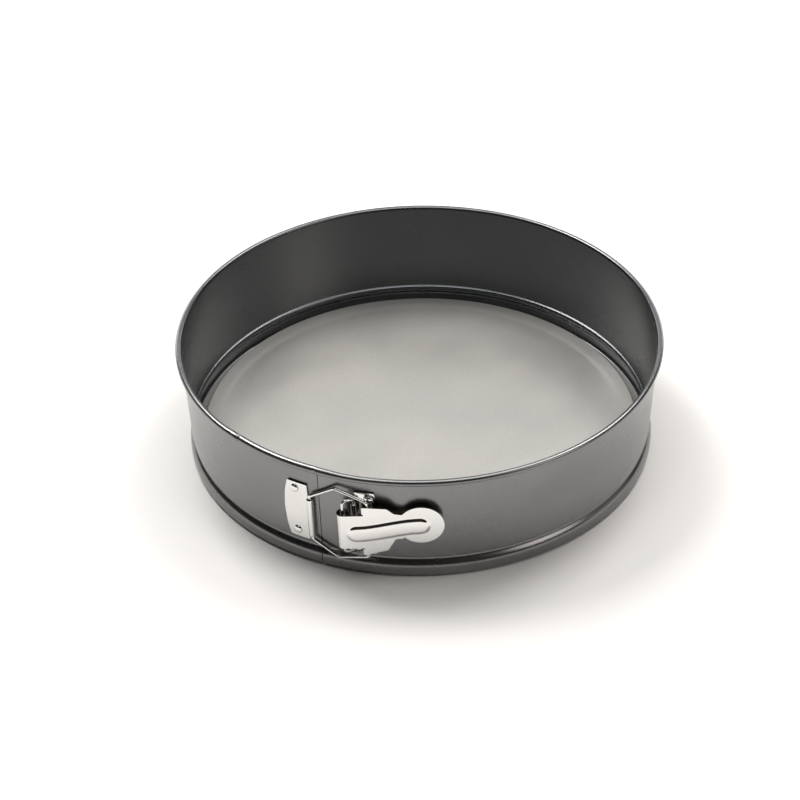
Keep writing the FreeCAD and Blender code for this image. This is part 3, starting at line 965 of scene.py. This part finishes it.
def plating(name, tint, rough):
    """Bright nickel plate over steel: soft waviness, hazy patches and a few dark pits."""
    material, nodes, links, shader, place = new_material(name)
    wave = noise(nodes, links, place, WAVE_GRAIN, 3.0)
    pits = noise(nodes, links, place, PIT_GRAIN, 2.0, 0.6)
    haze = noise(nodes, links, place, HAZE_GRAIN, 4.0, 0.7)
    pit_mask = ramp(nodes, links, pits, 0.68, 0.74, 0.0, 1.0)
    dark = tuple(0.45 * c for c in tint)
    links.new(shade(nodes, links, pit_mask, tint, dark), shader.inputs["Base Color"])
    links.new(ramp(nodes, links, haze, 0.3, 0.75, *rough), shader.inputs["Roughness"])
    shader.inputs["Metallic"].default_value = 1.0
    bump(nodes, links, shader, wave, 0.03, 0.25)
    return material


def assign(pieces, material):
    for piece in pieces:
        piece.data.materials.clear()
        piece.data.materials.append(material)


# ---------------------------------------------------------------- stage, lights and camera

def make_floor():
    half = FLOOR_HALF * MM
    corners = [(-half, -half, 0), (half, -half, 0), (half, half, 0), (-half, half, 0)]
    floor = new_object("studio_floor", corners, [(0, 1, 2, 3)])
    material, nodes, links, shader, place = new_material("studio_white")
    tone = noise(nodes, links, place, FLOOR_GRAIN, 2.0)
    colour = shade(nodes, links, tone, (0.92, 0.91, 0.895), (0.945, 0.935, 0.92))
    links.new(colour, shader.inputs["Base Color"])
    shader.inputs["Roughness"].default_value = 0.7
    assign([floor], material)


def studio_place(bearing, height, distance):
    """A point at a bearing from the front, a height angle over the floor and a distance from the origin."""
    a = math.radians(bearing)
    e = math.radians(height)
    return Vector((math.sin(a) * math.cos(e), -math.cos(a) * math.cos(e), math.sin(e))) * distance * MM


def soft_light(name, bearing, height, size, power, tint):
    """A large lamp at a bearing from the camera and a height angle, aimed at the pan."""
    lamp = bpy.data.lights.new(name, "AREA")
    lamp.shape = "RECTANGLE"
    lamp.size, lamp.size_y = size[0] * MM, size[1] * MM
    lamp.energy = power
    lamp.color = tint
    piece = bpy.data.objects.new(name, lamp)
    place = studio_place(CAMERA_BEARING + bearing, height, LIGHT_DISTANCE)
    piece.location = place
    piece.rotation_euler = (-place).to_track_quat("-Z", "Y").to_euler()
    bpy.context.scene.collection.objects.link(piece)


def make_lights():
    """Softboxes above, behind and to the right of the pan; the camera's side stays dark."""
    warm = (1.0, 0.975, 0.945)
    neutral = (1.0, 1.0, 1.0)
    fill = (1.0, 0.92, 0.86)
    world = bpy.data.worlds.new("studio")
    bpy.context.scene.world = world
    world.use_nodes = True
    world.node_tree.nodes["Background"].inputs["Color"].default_value = (*fill, 1)
    world.node_tree.nodes["Background"].inputs["Strength"].default_value = 0.02
    soft_light("overhead", 0, 89.9, TOP_BOX, 10.0, neutral)
    soft_light("back_left", -135, 56, HIGH_BOX, 14.5, warm)
    soft_light("back_right", 135, 56, HIGH_BOX, 8.8, warm)
    soft_light("back", -180, 34, MIDDLE_BOX, 1.7, neutral)
    soft_light("low_back_left", -150, 12, LOW_BOX, 4.0, neutral)
    soft_light("low_back_right", 150, 12, LOW_BOX, 3.2, neutral)
    soft_light("right", 60, 34, MIDDLE_BOX, 2.8, fill)
    soft_light("low_right", 90, 12, LOW_BOX, 0.5, fill)


def make_camera():
    """The scene's camera, aimed at the origin and then turned a little about its own axes."""
    place = studio_place(CAMERA_BEARING, CAMERA_HEIGHT, CAMERA_DISTANCE)
    looking = -place.normalized()
    right = looking.cross(Vector((0, 0, 1))).normalized()
    up = right.cross(looking)
    yaw = Matrix.Rotation(math.radians(CAMERA_YAW), 3, up)
    looking, right = yaw @ looking, yaw @ right
    pitch = Matrix.Rotation(math.radians(CAMERA_PITCH), 3, right)
    looking, up = pitch @ looking, pitch @ up
    roll = Matrix.Rotation(math.radians(CAMERA_ROLL), 3, looking)
    right, up = roll @ right, roll @ up
    camera = bpy.data.objects.new("camera", bpy.data.cameras.new("camera"))
    camera.data.lens = CAMERA_LENS
    camera.data.sensor_width = 36.0
    camera.matrix_world = Matrix.Translation(place) @ Matrix((right, up, -looking)).transposed().to_4x4()
    bpy.context.scene.collection.objects.link(camera)
    bpy.context.scene.camera = camera
    bpy.context.scene.view_settings.view_transform = "Standard"


make_camera()
make_lights()
make_floor()
band = make_band()
base = make_base()
plates = [make_strike_plate(), make_bracket(), make_lever()] + make_rivets()
wires = [make_bail(), make_link()]
# The band's tint for its inward faces is painted shade, darker and cooler inside the pan.
assign(band, coating("satin_band", dark=(0.19, 0.19, 0.194), light=(0.29, 0.29, 0.29), rough=(0.24, 0.30),
                     metallic=0.95, inner_shade_tint=(0.60, 0.63, 0.66)))
# The base's coating is set lighter than the band's, partly painted light: it stands in for light falling on
# the pan's upward-facing floor.
assign(base, coating("satin_base", dark=(0.348, 0.342, 0.328), light=(0.51, 0.50, 0.474), rough=(0.38, 0.44),
                     metallic=0.60))
assign(plates, plating("nickel_plate", tint=(0.86, 0.855, 0.84), rough=(0.07, 0.14)))
assign(wires, plating("nickel_wire", tint=(0.82, 0.815, 0.80), rough=(0.06, 0.14)))
